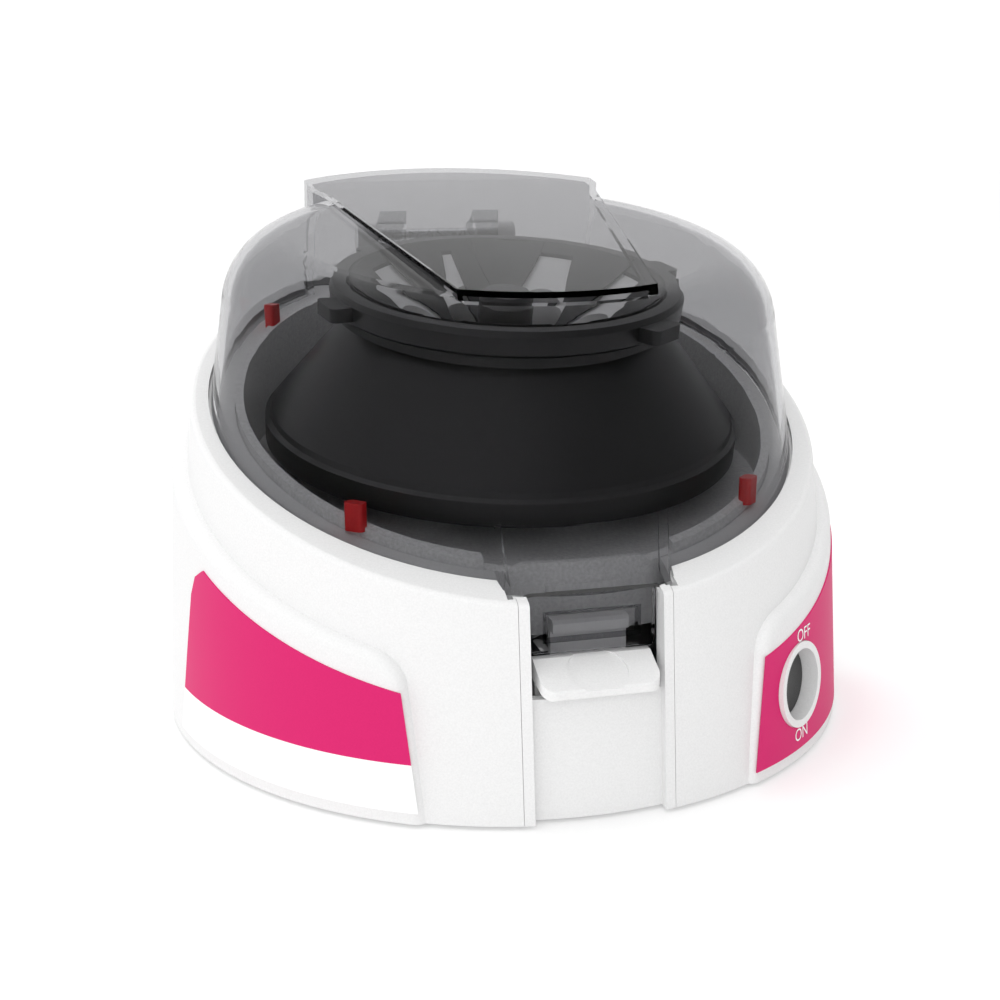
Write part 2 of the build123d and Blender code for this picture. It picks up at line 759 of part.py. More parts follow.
export_step(rotor_bell.part, "parts/rotor_bell.step")

# Tube holder: a dish with sleeves that lean out under the bell.
dish_rise = math.tan(math.radians(DISH_SLOPE))
dish_top = FLANGE_H - 0.7
dish_floor = dish_top - dish_rise * (DISH_OUT_R - DISH_IN_R)
dish_drop = DISH_THICK / math.cos(math.radians(DISH_SLOPE))
pocket_h = dish_top - dish_rise * (DISH_OUT_R - POCKET_AT_R)


def pocket_plane(angle, along):
    """Plane square to one tube pocket, a distance down its axis."""
    lean = math.radians(DISH_SLOPE)
    turn = math.radians(angle)
    out_r = POCKET_AT_R + along * math.sin(lean)
    out_h = pocket_h - along * math.cos(lean)
    base = rotor_plane(0)
    origin = base.from_local_coords((out_r * math.sin(turn), out_r * math.cos(turn), out_h))
    tip = base.from_local_coords(
        (
            (out_r + math.sin(lean)) * math.sin(turn),
            (out_r + math.sin(lean)) * math.cos(turn),
            out_h - math.cos(lean),
        )
    )
    return Plane(origin=origin, z_dir=tip - origin)


def pocket_rod(radius, angle, start, stop):
    """Cylinder along one tube pocket."""
    with BuildPart() as body:
        with BuildSketch(pocket_plane(angle, start)):
            Circle(radius)
        extrude(amount=stop - start)
    return body.part


pocket_angles = [WEB_ANGLE + 360 / POCKETS * (k + 0.5) for k in range(POCKETS)]
with BuildPart() as tube_holder:
    add(
        spun(
            [
                (SHAFT_R + SHAFT_FIT, HUB_LOW),
                (HUB_R, HUB_LOW),
                (HUB_R, dish_floor - DISH_THICK),
                (DISH_IN_R + 0.7, dish_floor - DISH_THICK),
                (DISH_EDGE_R, dish_top - dish_drop - dish_rise * (DISH_OUT_R - DISH_EDGE_R)),
                (DISH_EDGE_R, LEDGE_H),
                (DISH_OUT_R, LEDGE_H),
                (DISH_OUT_R, dish_top),
                (DISH_IN_R, dish_floor),
                (HUB_R, dish_floor),
                (HUB_R, HUB_TOP),
                (SHAFT_R + SHAFT_FIT, HUB_TOP),
            ]
        )
    )
    for angle in pocket_angles:
        add(pocket_rod(POCKET_R, angle, -6, 8), mode=Mode.SUBTRACT)
tube_holder.part.label = "tube_holder"
export_step(tube_holder.part, "parts/tube_holder.step")

# Sleeves that hang under the dish, each cut off where it meets the dish.
dish_above = spun(
    [
        (0, dish_floor - DISH_THICK),
        (DISH_IN_R + 0.7, dish_floor - DISH_THICK),
        (DISH_EDGE_R, dish_top - dish_drop - dish_rise * (DISH_OUT_R - DISH_EDGE_R)),
        (DISH_EDGE_R, FLANGE_H),
        (0, FLANGE_H),
    ]
)
with BuildPart() as tube_sleeves:
    for angle in pocket_angles:
        add(pocket_rod(POCKET_SLEEVE_R, angle, -6, POCKET_LENGTH + SLEEVE_END))
    for angle in pocket_angles:
        add(pocket_rod(POCKET_R, angle, -8, POCKET_LENGTH), mode=Mode.SUBTRACT)
        add(pocket_rod(SLEEVE_HOLE_R, angle, 0, POCKET_LENGTH + 4), mode=Mode.SUBTRACT)
    add(dish_above, mode=Mode.SUBTRACT)
tube_sleeves.part.label = "tube_sleeves"
export_step(tube_sleeves.part, "parts/tube_sleeves.step")

# Dark cover whose eight webs run down between the pockets.
with BuildPart() as web_star:
    with BuildSketch(rotor_plane(0)):
        Circle(DISH_OUT_R - 0.05)
        Circle(DISH_OUT_R - 2.6, mode=Mode.SUBTRACT)
        for index in range(POCKETS):
            turn = -(WEB_ANGLE + 360 / POCKETS * index)
            with Locations(Rotation(0, 0, turn)):
                with BuildLine():
                    Polyline(
                        (-WEB_TOP_W / 2, DISH_OUT_R - 1.0),
                        (WEB_TOP_W / 2, DISH_OUT_R - 1.0),
                        (WEB_LOW_W / 2, WEB_LOW_R),
                        (-WEB_LOW_W / 2, WEB_LOW_R),
                        close=True,
                    )
                make_face()
    extrude(amount=60)
with BuildPart() as rotor_cover:
    add(
        spun(
            [
                (DISH_IN_R, dish_floor),
                (DISH_OUT_R - 0.05, dish_top - dish_rise * 0.05),
                (DISH_OUT_R - 0.05, dish_top + WEB_THICK),
                (DISH_IN_R, dish_floor + WEB_THICK / math.cos(math.radians(DISH_SLOPE))),
            ]
        )
    )
    add(web_star.part, mode=Mode.INTERSECT)
rotor_cover.part.label = "rotor_cover"
export_step(rotor_cover.part, "parts/rotor_cover.step")

with BuildPart() as rotor_cap:
    add(
        spun(
            [
                (0, SHAFT_TOP),
                (SHAFT_R + SHAFT_FIT, SHAFT_TOP),
                (SHAFT_R + SHAFT_FIT, HUB_TOP),
                (HUB_R, HUB_TOP),
                (HUB_R, CAP_TOP - 1.2),
                (HUB_R - 1.2, CAP_TOP),
                (0, CAP_TOP),
            ]
        )
    )
rotor_cap.part.label = "rotor_cap"
export_step(rotor_cap.part, "parts/rotor_cap.step")

# Lid.
FOOT_Z = SHOULDER_TOP + FOOT_GAP


def dome(grow, foot_drop):
    """Lid dome grown by a distance, its top edge rounded."""
    flare = grow + foot_drop * LID_LEAN
    with BuildPart() as body:
        with BuildSketch(slant(FOOT_Z - foot_drop, RIM_SLOPE)):
            slant_ellipse(FOOT_RX + flare, FOOT_RY + flare, FOOT_CY, RIM_SLOPE)
        with BuildSketch(slant(TOP_Z + grow, TOP_SLOPE)):
            slant_ellipse(TOP_RX + grow, TOP_RY + grow, TOP_CY, TOP_SLOPE)
        loft(ruled=True)
        top_edge = body.faces().sort_by(Axis.Z)[-1].edges()
        fillet(top_edge, LID_ROUND + grow)
    return body.part


def spine(grow, foot_drop):
    """Raised middle of the lid grown by a distance."""
    flare = SPINE_PROUD + grow + foot_drop * SPINE_LEAN
    with BuildPart() as body:
        with BuildSketch(slant(FOOT_Z - foot_drop, RIM_SLOPE)):
            slant_ellipse(FOOT_RX + flare, FOOT_RY + flare, FOOT_CY, RIM_SLOPE)
        with BuildSketch(slant(SPINE_TOP_Z + grow, SPINE_TOP_SLOPE)):
            slant_ellipse(
                SPINE_TOP_RX + grow, SPINE_TOP_RY + grow, SPINE_TOP_CY, SPINE_TOP_SLOPE
            )
        loft(ruled=True)
        outline = [(x + grow * math.copysign(1, x), y) for x, y in spine_outline]
        add(plan_prism(outline, 10, 140), mode=Mode.INTERSECT)
    return body.part


with BuildPart() as lid_shell:
    add(dome(0, 0))
    add(spine(0, 0))
    add(dome(-LID_WALL, 5), mode=Mode.SUBTRACT)
    add(spine(-LID_WALL, 5), mode=Mode.SUBTRACT)
    for side in (-1, 1):
        x0 = min(side * LID_EAR_X0, side * LID_EAR_X1)
        x1 = max(side * LID_EAR_X0, side * LID_EAR_X1)
        add(
            side_prism(
                [
                    (HINGE_Y, HINGE_Z - HINGE_EAR_R),
                    (HINGE_Y - 5.5, HINGE_Z - 2.6),
                    (HINGE_Y - 6.0, HINGE_Z + 6.5),
                    (HINGE_Y - 1, HINGE_Z + HINGE_EAR_R),
                    (HINGE_Y, HINGE_Z + HINGE_EAR_R),
                ],
                x0,
                x1,
            )
        )
        add(x_rod(HINGE_EAR_R, HINGE_Y, HINGE_Z, x0, x1))
        add(x_rod(HINGE_PIN_R + PIN_FIT, HINGE_Y, HINGE_Z, x0 - 1, x1 + 1), mode=Mode.SUBTRACT)
lid_shell.part.label = "lid_shell"
export_step(lid_shell.part, "parts/lid_shell.step")

# Tongue with the window that the latch hook reaches through.
tongue_out = -(FOOT_RY + SPINE_PROUD - FOOT_CY)
tongue_top = FOOT_Z + RIM_SLOPE * tongue_out
with BuildPart() as lid_tongue:
    add(
        below(
            side_prism(
                [
                    (tongue_out, tongue_top + 3.0),
                    (tongue_out - 0.3, tongue_top - 1.0),
                    (tongue_out - 0.3, TONGUE_LOW + 1.0),
                    (tongue_out + 0.4, TONGUE_LOW),
                    (tongue_out + TONGUE_THICK, TONGUE_LOW),
                    (tongue_out + TONGUE_THICK, tongue_top + 3.0),
                ],
                -TONGUE_X,
                TONGUE_X,
            ),
            FOOT_Z,
            RIM_SLOPE,
        )
    )
    add(
        block(-WINDOW_X, WINDOW_X, -FAR, 0, TONGUE_LOW + TONGUE_BAR, WINDOW_TOP),
        mode=Mode.SUBTRACT,
    )
lid_tongue.part.label = "lid_tongue"
export_step(lid_tongue.part, "parts/lid_tongue.step")

with BuildPart() as hinge_pin:
    add(x_rod(HINGE_PIN_R, HINGE_Y, HINGE_Z, -BODY_EAR_X1, BODY_EAR_X1))
hinge_pin.part.label = "hinge_pin"
export_step(hinge_pin.part, "parts/hinge_pin.step")

# Latch lever.
lever_back = LEVER_FRONT + LEVER_THICK
tab_fall = math.atan(TAB_DROP / (HOOK_FRONT - 0.8 - TAB_FRONT))
tab_profile = side_prism(
    [
        (LEVER_FRONT + 0.4, TAB_ROOT_Z),
        (HOOK_FRONT - 0.8, TAB_ROOT_Z),
        (TAB_FRONT + 0.2, TAB_ROOT_Z - TAB_DROP),
        (TAB_FRONT, TAB_ROOT_Z - TAB_DROP - 0.4),
        (TAB_FRONT, TAB_ROOT_Z - TAB_DROP - 1.6),
        (TAB_FRONT + 0.3, TAB_ROOT_Z - TAB_DROP - 1.9),
        (TAB_FRONT + 3.0, TAB_ROOT_Z - TAB_DROP - 0.9),
        (LEVER_FRONT + 0.4, TAB_ROOT_Z - 3.6),
    ],
    -TAB_X,
    TAB_X,
)
with BuildPart() as tab_plan:
    with BuildSketch(Plane.XY.offset(TAB_ROOT_Z - 10)):
        with Locations((0, TAB_FRONT + 10)):
            RectangleRounded(2 * TAB_X, 20, TAB_CORNER)
    extrude(amount=20)
with BuildPart() as tab_dimple:
    with BuildSketch(
        Plane(
            origin=(0, TAB_FRONT + 4.2, TAB_ROOT_Z - TAB_DROP + 4.0 * math.tan(tab_fall)),
            x_dir=(1, 0, 0),
            z_dir=(0, -math.sin(tab_fall), math.cos(tab_fall)),
        )
    ):
        Circle(DIMPLE_R)
    extrude(amount=DIMPLE_DEEP, both=True)
with BuildPart() as latch_lever:
    add(x_rod(LEVER_BARREL_R, LEVER_PIVOT_Y, LEVER_PIVOT_Z, -LEVER_X, LEVER_X))
    add(block(-LEVER_X, LEVER_X, LEVER_FRONT, lever_back, LEVER_PIVOT_Z, TAB_ROOT_Z))
    add(block(-HOOK_X, HOOK_X, LEVER_FRONT, lever_back, LEVER_PIVOT_Z, HOOK_Z0))
    add(tab_profile & tab_plan.part)
    add(tab_dimple.part, mode=Mode.SUBTRACT)
    add(x_rod(LEVER_PIN_R + PIN_FIT, LEVER_PIVOT_Y, LEVER_PIVOT_Z, -20, 20), mode=Mode.SUBTRACT)
latch_lever.part.label = "latch_lever"
export_step(latch_lever.part, "parts/latch_lever.step")

# Hook block that sits on the arm and holds the tongue's lower bar.
with BuildPart() as latch_hook:
    add(
        side_prism(
            [
                (lever_back, HOOK_Z0),
                (lever_back, HOOK_Z1),
                (HOOK_FRONT + HOOK_NOSE, HOOK_Z1),
                (HOOK_FRONT, HOOK_Z1 - HOOK_NOSE),
                (HOOK_FRONT, HOOK_Z0),
            ],
            -HOOK_X,
            HOOK_X,
        )
    )
latch_hook.part.label = "latch_hook"
export_step(latch_hook.part, "parts/latch_hook.step")

with BuildPart() as latch_pin:
    add(x_rod(LEVER_PIN_R, LEVER_PIVOT_Y, LEVER_PIVOT_Z, -14.0, 14.0))
latch_pin.part.label = "latch_pin"
export_step(latch_pin.part, "parts/latch_pin.step")

# Red bumpers that straddle the chamber lip.
bowl_ring = below(upright(outer_r + PIN_FIT, outer_r + PIN_FIT + 0.01, BOWL_CY, 20, 120),
                  LIP_Z, RIM_SLOPE)
with BuildPart() as lid_bumpers:
    for angle in BUMPER_ANGLES:
        turn = math.radians(angle)
        spot_x = BUMPER_R * math.sin(turn)
        spot_y = BOWL_CY - BUMPER_R * math.cos(turn)
        base_z = SHOULDER_TOP + RIM_SLOPE * spot_y + 0.9
        with BuildSketch(Plane.XY.offset(base_z)):
            with Locations((spot_x, spot_y)):
                RectangleRounded(BUMPER_WIDE, BUMPER_DEEP, 0.9, rotation=angle)
        extrude(amount=BUMPER_TALL)
    add(bowl_ring, mode=Mode.SUBTRACT)
lid_bumpers.part.label = "lid_bumpers"
export_step(lid_bumpers.part, "parts/lid_bumpers.step")

# Label skins on the pads.
skin_shell = pad_body(SKIN) - pad_body(0)
label_side = side_prism(
    [
        (-FAR, BAND_Z),
        (-18.7, BAND_Z),
        (-21.7, 34),
        (-23.5, 38.2),
        (-27.0, LABEL_TOP_Z - 27 * RIM_SLOPE),
        (-85, LABEL_TOP_Z - 85 * RIM_SLOPE),
        (-FAR, LABEL_TOP_Z - 85 * RIM_SLOPE),
    ],
    -FAR,
    FAR,
)
band_side = side_prism([(-FAR, LABEL_LOW), (-17.3, LABEL_LOW), (-18.7, BAND_Z), (-FAR, BAND_Z)],
                       -FAR, FAR)
label_front = LABEL_FRONT_X + 0.098 * 60
label_gap = front_prism(
    [(-LABEL_FRONT_X, 0), (LABEL_FRONT_X, 0), (label_front, 60), (-label_front, 60)], 0, -FAR
)
right_half = block(0, FAR, -FAR, 0, 0, 90)
left_half = block(-FAR, 0, -FAR, 0, 0, 90)
with BuildPart() as label_left:
    add((skin_shell & label_side & left_half) - label_gap)
label_left.part.label = "label_left"
export_step(label_left.part, "parts/label_left.step")

with BuildPart() as label_left_band:
    add((skin_shell & band_side & left_half) - label_gap)
label_left_band.part.label = "label_left_band"
export_step(label_left_band.part, "parts/label_left_band.step")

with BuildPart() as label_right:
    add((skin_shell & label_side & right_half) - label_gap)
    add((skin_shell & band_side & right_half) - label_gap)
    add(switch_rod(SWITCH_RING_R + 0.1, -20, 20), mode=Mode.SUBTRACT)
label_right.part.label = "label_right"
export_step(label_right.part, "parts/label_right.step")

# Switch: a white well with a round black rocker at its bottom.
rocker_base = switch_plane(-ROCKER_SUNK)
tangent_plane = Plane(
    origin=rocker_base.from_local_coords((-SWITCH_TUBE_R + 0.2, 0, 0)),
    x_dir=rocker_base.y_dir,
    z_dir=rocker_base.x_dir,
)
with BuildPart() as rocker_axle:
    with BuildSketch(tangent_plane):
        Circle(ROCKER_AXLE_R)
    extrude(amount=2 * (SWITCH_TUBE_R - 0.2))
with BuildPart() as axle_bore:
    with BuildSketch(tangent_plane):
        Circle(ROCKER_AXLE_R + PIN_FIT)
    extrude(amount=2 * (SWITCH_TUBE_R - 0.2))
with BuildPart() as switch_bezel:
    add(switch_rod(SWITCH_TUBE_R, -SWITCH_BACK, 0.4))
    add(switch_rod(SWITCH_RING_R, -1.2, 0.9) - pad_body(0))
    add(switch_rod(SWITCH_WELL_R, -8.0, 3), mode=Mode.SUBTRACT)
    add(axle_bore.part, mode=Mode.SUBTRACT)
switch_bezel.part.label = "switch_bezel"
export_step(switch_bezel.part, "parts/switch_bezel.step")

with BuildPart() as switch_rocker:
    with BuildSketch(tangent_plane):
        with Locations(Rotation(0, 0, -ROCKER_REST)):
            with BuildLine():
                Polyline(
                    (-ROCKER_R, 1.8),
                    (ROCKER_R, 1.8),
                    (ROCKER_R, -1.6),
                    (0, -0.7),
                    (-ROCKER_R, -1.6),
                    close=True,
                )
            make_face()
    extrude(amount=2 * SWITCH_TUBE_R)
    add(switch_rod(ROCKER_R, -9, 3), mode=Mode.INTERSECT)
    add(rocker_axle.part)
switch_rocker.part.label = "switch_rocker"
export_step(switch_rocker.part, "parts/switch_rocker.step")

# Power inlet at the back.
with BuildPart() as inlet_flange:
    with BuildSketch(Plane(origin=(0, INLET_FACE, INLET_Z), x_dir=(-1, 0, 0), z_dir=(0, 1, 0))):
        RectangleRounded(19, 15, 3)
    extrude(amount=-4)
with BuildPart() as inlet_socket:
    add(inlet_flange.part - pad_body(0))
    add(y_rod(INLET_R, 0, INLET_Z, INLET_FACE - 15, INLET_FACE - 0.5))
    add(y_rod(INLET_BORE_R, 0, INLET_Z, INLET_FACE - 12, INLET_FACE + 1), mode=Mode.SUBTRACT)
inlet_socket.part.label = "inlet_socket"
export_step(inlet_socket.part, "parts/inlet_socket.step")
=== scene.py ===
"""Looks of the bench microcentrifuge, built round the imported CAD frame."""

import math

import bmesh
import bpy
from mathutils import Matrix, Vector
from mathutils.bvhtree import BVHTree


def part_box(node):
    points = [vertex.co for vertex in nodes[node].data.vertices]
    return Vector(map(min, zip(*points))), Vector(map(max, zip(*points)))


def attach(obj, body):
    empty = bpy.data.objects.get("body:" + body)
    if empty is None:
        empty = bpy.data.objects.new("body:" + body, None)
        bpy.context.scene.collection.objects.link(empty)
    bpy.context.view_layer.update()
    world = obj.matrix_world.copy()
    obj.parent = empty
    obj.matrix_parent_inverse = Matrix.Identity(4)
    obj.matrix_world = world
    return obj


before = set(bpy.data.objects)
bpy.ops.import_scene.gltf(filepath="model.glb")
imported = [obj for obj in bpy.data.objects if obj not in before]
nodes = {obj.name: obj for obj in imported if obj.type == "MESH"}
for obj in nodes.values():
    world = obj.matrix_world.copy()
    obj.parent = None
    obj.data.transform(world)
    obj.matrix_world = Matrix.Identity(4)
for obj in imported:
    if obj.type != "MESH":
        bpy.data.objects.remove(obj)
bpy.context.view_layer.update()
MM = 0.001

# Rotor: its axis, and the dish that the webs lie on, in millimetres.
ROTOR_AT = Vector((0.0, 1.75, 60.0)) * MM
ROTOR_TILT = math.radians(9.55)
WEBS = 8
WEB_ANGLE = 14.6
DISH_SLOPE = math.radians(40)
DISH_OUT_R = 34.15
DISH_TOP_H = 34.3
SKIN_LOW = 1.0
SKIN_HIGH = 1.4
SKIN_STEPS = 4
SKIN_HALF_WIDTHS = ((13.0, 0.8), (17.0, 1.1), (20.0, 1.9), (23.0, 3.4), (26.0, 5.4), (30.0, 7.6), (33.6, 9.0))

# Lid: the pane in the tongue's window, and the painted shade line: a dark strip along the front foot put where
# there is only shade.
PANE_HALF_X = 9.6
PANE_LOW_Z = 33.8
PANE_TOP_Z = 39.9
PANE_SET_BACK = 0.1
PANE_THICK = 0.3
LINE_HALF_X = 14.4
LINE_STEPS = 12
LINE_TALL = 0.6
LINE_THICK = 0.25
LINE_SET_BACK = 0.2
LINE_LIFT = 0.1
LINE_TURN = 2.0
LINE_RISE = 1.4

# Words by the switch: angle from the front, height of the centre and size of the letters.
WORDS = (("word_off", "OFF", 40.3, 26.9), ("word_on", "ON", 38.8, 6.1))
WORD_SIZE = 3.7
WORD_PROUD = 0.06
PAD_R = 75.5

# Camera and light.
CAMERA_PLACE = Vector((-77.7, -300.5, 126.0)) * MM
CAMERA_AIM = Vector((0.0, -2.0, 44.13)) * MM
CAMERA_LENS = 50
CAMERA_SHIFT_X = -0.0047
SKY_STRENGTH = 1.15
SKY_SHADE_SIDE = (0.8, -0.6, 0.0)
SKY_SHADE = 0.45
SKY_SHADE_FULL_AT = 0.9
LIGHT_AIM = (0.0, 0.0, 0.07)
SOFT_BOXES = (
    ("front", (-0.18, -0.65, 0.36), (0.3, 0.2), 0.7),
    ("top", (-0.1, 0.1, 1.0), (0.8, 0.8), 2.0),
)
FLOOR_HALF = 4.0
FLOOR_GLOW = 0.18


# Materials.


def grey(value):
    """Neutral colour."""
    return (value, value, value)


def new_material(name):
    """Empty Principled material: returns it, its node tree and the shader."""
    material = bpy.data.materials.new(name)
    material.use_nodes = True
    tree = material.node_tree
    return material, tree, tree.nodes["Principled BSDF"]


def add_noise(tree, scale, detail=4.0, rough=0.55):
    """Noise on object coordinates, so that it stays put on a moving piece."""
    coords = tree.nodes.new("ShaderNodeTexCoord")
    noise = tree.nodes.new("ShaderNodeTexNoise")
    noise.inputs["Scale"].default_value = scale
    noise.inputs["Detail"].default_value = detail
    noise.inputs["Roughness"].default_value = rough
    tree.links.new(coords.outputs["Object"], noise.inputs["Vector"])
    return noise.outputs["Fac"]


def add_bump(tree, shader, height, strength, distance=0.1 * MM):
    """Bump from a height output."""
    bump = tree.nodes.new("ShaderNodeBump")
    bump.inputs["Strength"].default_value = strength
    bump.inputs["Distance"].default_value = distance
    tree.links.new(height, bump.inputs["Height"])
    tree.links.new(bump.outputs["Normal"], shader.inputs["Normal"])


def mottle(tree, shader, noise, low, high, dark, light):
    """Base colour that runs from dark to light with the noise."""
    node = tree.nodes.new("ShaderNodeValToRGB")
    for element, place, colour in zip(node.color_ramp.elements, (low, high), (dark, light)):
        element.position = place
        element.color = (*colour, 1)
    tree.links.new(noise, node.inputs["Fac"])
    tree.links.new(node.outputs["Color"], shader.inputs["Base Color"])


def rough_range(tree, shader, noise, low, high):
    """Roughness that varies between two values."""
    node = tree.nodes.new("ShaderNodeMapRange")
    node.inputs["To Min"].default_value = low
    node.inputs["To Max"].default_value = high
    tree.links.new(noise, node.inputs["Value"])
    tree.links.new(node.outputs["Result"], shader.inputs["Roughness"])


ROUGH_SPREAD = 0.08


def grained(name, dark, light, scale, strength, rough, metallic=0.0, specular=0.5):
    """Moulded or turned surface with a fine grain and faint mottling."""
    material, tree, shader = new_material(name)
    grain = add_noise(tree, scale, 3.0, 0.6)
    mottle(tree, shader, grain, 0.3, 0.7, dark, light)
    rough_range(tree, shader, grain, rough - ROUGH_SPREAD, rough + ROUGH_SPREAD)
    add_bump(tree, shader, grain, strength)
    shader.inputs["Metallic"].default_value = metallic
    shader.inputs["Specular IOR Level"].default_value = specular
    return material


def gloss_black():
    """Polished black of the rotor, with a slow change in gloss."""
    material, tree, shader = new_material("rotor_black")
    cloud = add_noise(tree, 60, 3.0)
    mottle(tree, shader, cloud, 0.3, 0.7, grey(0.006), grey(0.01))
    rough_range(tree, shader, cloud, 0.34, 0.42)
    shader.inputs["Specular IOR Level"].default_value = 0.7
    return material


def smoked_clear():
    """Clear smoked plastic of the lid."""
    material, tree, shader = new_material("smoke")
    cloud = add_noise(tree, 25, 2.0)
    mottle(tree, shader, cloud, 0.2, 0.8, (0.50, 0.50, 0.51), (0.53, 0.53, 0.54))
    shader.inputs["Roughness"].default_value = 0.01
    shader.inputs["Transmission Weight"].default_value = 1.0
    shader.inputs["IOR"].default_value = 1.09
    shader.inputs["Specular Tint"].default_value = (0.3, 0.3, 0.3, 1)
    return material


housing_white = grained("housing_white", grey(0.76), grey(0.82), 2600, 0.35, 0.5)
chamber_white = grained("chamber_white", grey(0.66), grey(0.86), 1500, 0.7, 0.62)
rotor_white = grained("rotor_white", grey(0.84), grey(0.92), 2200, 0.4, 0.45)
switch_black = grained("switch_black", grey(0.012), grey(0.03), 2600, 0.4, 0.38)
black_rubber = grained("black_rubber", grey(0.015), grey(0.035), 1800, 0.5, 0.7)
part_black = grained("part_black", grey(0.02), grey(0.04), 2400, 0.3, 0.5)
red_rubber = grained("red_rubber", (0.72, 0.008, 0.012), (0.84, 0.014, 0.018), 1600, 0.2, 0.35)
label_magenta = grained(
    "label_magenta", (0.63, 0.010, 0.138), (0.66, 0.013, 0.148), 3000, 0.05, 0.5, specular=0.2
)
label_white = grained("label_white", grey(0.90), grey(0.94), 3000, 0.05, 0.42)
zinc = grained("zinc", (0.42, 0.43, 0.45), (0.52, 0.53, 0.55), 900, 0.15, 0.35, metallic=1.0)
steel = grained("steel", (0.52, 0.52, 0.53), (0.62, 0.62, 0.63), 1400, 0.1, 0.28, metallic=1.0)
motor_metal = grained("motor_metal", (0.30, 0.31, 0.32), (0.38, 0.39, 0.40), 1000, 0.1, 0.32, metallic=1.0)
rotor_black = gloss_black()
smoke = smoked_clear()

finish = {
    "housing_shell": housing_white,
    "front_panel": housing_white,
    "bottom_plate": housing_white,
    "rubber_feet": black_rubber,
    "housing_screws": zinc,
    "chamber_bowl": chamber_white,
    "motor_grommets": black_rubber,
    "motor_plate": zinc,
    "motor_screws": zinc,
    "motor_can": motor_metal,
    "motor_shaft": steel,
    "rotor_bell": rotor_black,
    "tube_holder": rotor_white,
    "tube_sleeves": rotor_white,
    "rotor_cover": rotor_black,
    "rotor_cap": rotor_black,
    "lid_shell": smoke,
    "lid_tongue": smoke,
    "hinge_pin": steel,
    "latch_lever": housing_white,
    "latch_hook": housing_white,
    "latch_pin": steel,
    "lid_bumpers": red_rubber,
    "label_left": label_magenta,
    "label_left_band": label_white,
    "label_right": label_magenta,
    "switch_bezel": housing_white,
    "switch_rocker": switch_black,
    "inlet_socket": part_black,
}
for name, material in finish.items():
    mesh = nodes[name].data
    mesh.materials.clear()
    mesh.materials.append(material)


# Pieces that only the looks need.


def add_piece(name, bm, material, body):
    """Object from a bmesh, with its material, that rides on a body."""
    mesh = bpy.data.meshes.new(name)
    bm.to_mesh(mesh)
    bm.free()
    mesh.materials.append(material)
    piece = bpy.data.objects.new(name, mesh)
    bpy.context.scene.collection.objects.link(piece)
    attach(piece, body)


def closed_piece(name, sections, material, body):
    """Solid strip through closed sections of equal count, capped at both ends."""
    bm = bmesh.new()
    rings = [[bm.verts.new(point) for point in section] for section in sections]
    count = len(sections[0])
    for near, far in zip(rings, rings[1:]):
        for i in range(count):
            j = (i + 1) % count
            bm.faces.new((near[i], near[j], far[j], far[i]))
    bm.faces.new(rings[0][::-1])
    bm.faces.new(rings[-1])
    bmesh.ops.recalc_face_normals(bm, faces=bm.faces)
    add_piece(name, bm, material, body)


def rotor_place(r, turn, height):
    """Point on the rotor, in metres, from radius, angle and height in millimetres."""
    along = r * math.cos(turn)
    return ROTOR_AT + MM * Vector((
        r * math.sin(turn),
        along * math.cos(ROTOR_TILT) - height * math.sin(ROTOR_TILT),
        along * math.sin(ROTOR_TILT) + height * math.cos(ROTOR_TILT),
    ))


def web_skin(index):
    """Black skin on one web of the rotor, broad at the rim and narrow at the hub."""
    middle = math.radians(WEB_ANGLE + index * 360 / WEBS)
    sections = []
    for r, half in SKIN_HALF_WIDTHS:
        height = DISH_TOP_H - math.tan(DISH_SLOPE) * (DISH_OUT_R - r)
        turns = [middle + half / r * step / SKIN_STEPS for step in range(-SKIN_STEPS, SKIN_STEPS + 1)]
        upper = [rotor_place(r, turn, height + SKIN_HIGH) for turn in turns]
        lower = [rotor_place(r, turn, height + SKIN_LOW) for turn in reversed(turns)]
        sections.append(upper + lower)
    closed_piece(f"web_skin_{index + 1}", sections, rotor_black, "rotor")


def upright_section(x, front, back, low, high):
    """Rectangle across X, from its corners in metres."""
    return [Vector((x, front, low)), Vector((x, back, low)), Vector((x, back, high)), Vector((x, front, high))]


def window_pane(tongue_front):
    """Thin pane that closes the tongue's window in front of the hook."""
    front = tongue_front + PANE_SET_BACK * MM
    sections = [
        upright_section(x * MM, front, front + PANE_THICK * MM, PANE_LOW_Z * MM, PANE_TOP_Z * MM)
        for x in (-PANE_HALF_X, PANE_HALF_X)
    ]
    closed_piece("window_pane", sections, smoke, "lid")


def foot_line(tongue_front, tongue_top):
    """Painted shade: a dark strip along the lid's front foot, turned down at both ends, put where there is
    only shade.
    """
    back = tongue_front + LINE_SET_BACK * MM
    sections = []
    for step in range(-LINE_STEPS, LINE_STEPS + 1):
        x = LINE_HALF_X * step / LINE_STEPS
        past = max(0.0, (abs(x) - (LINE_HALF_X - LINE_TURN)) / LINE_TURN)
        low = tongue_top + (LINE_LIFT - LINE_RISE * past * past) * MM
        sections.append(upright_section(x * MM, back - LINE_THICK * MM, back, low, low + LINE_TALL * MM))
    closed_piece("foot_line", sections, part_black, "lid")


def surface_of(name):
    """Search tree of a CAD node's faces."""
    mesh = nodes[name].data
    corners = [v.co.copy() for v in mesh.vertices]
    return BVHTree.FromPolygons(corners, [list(p.vertices) for p in mesh.polygons])


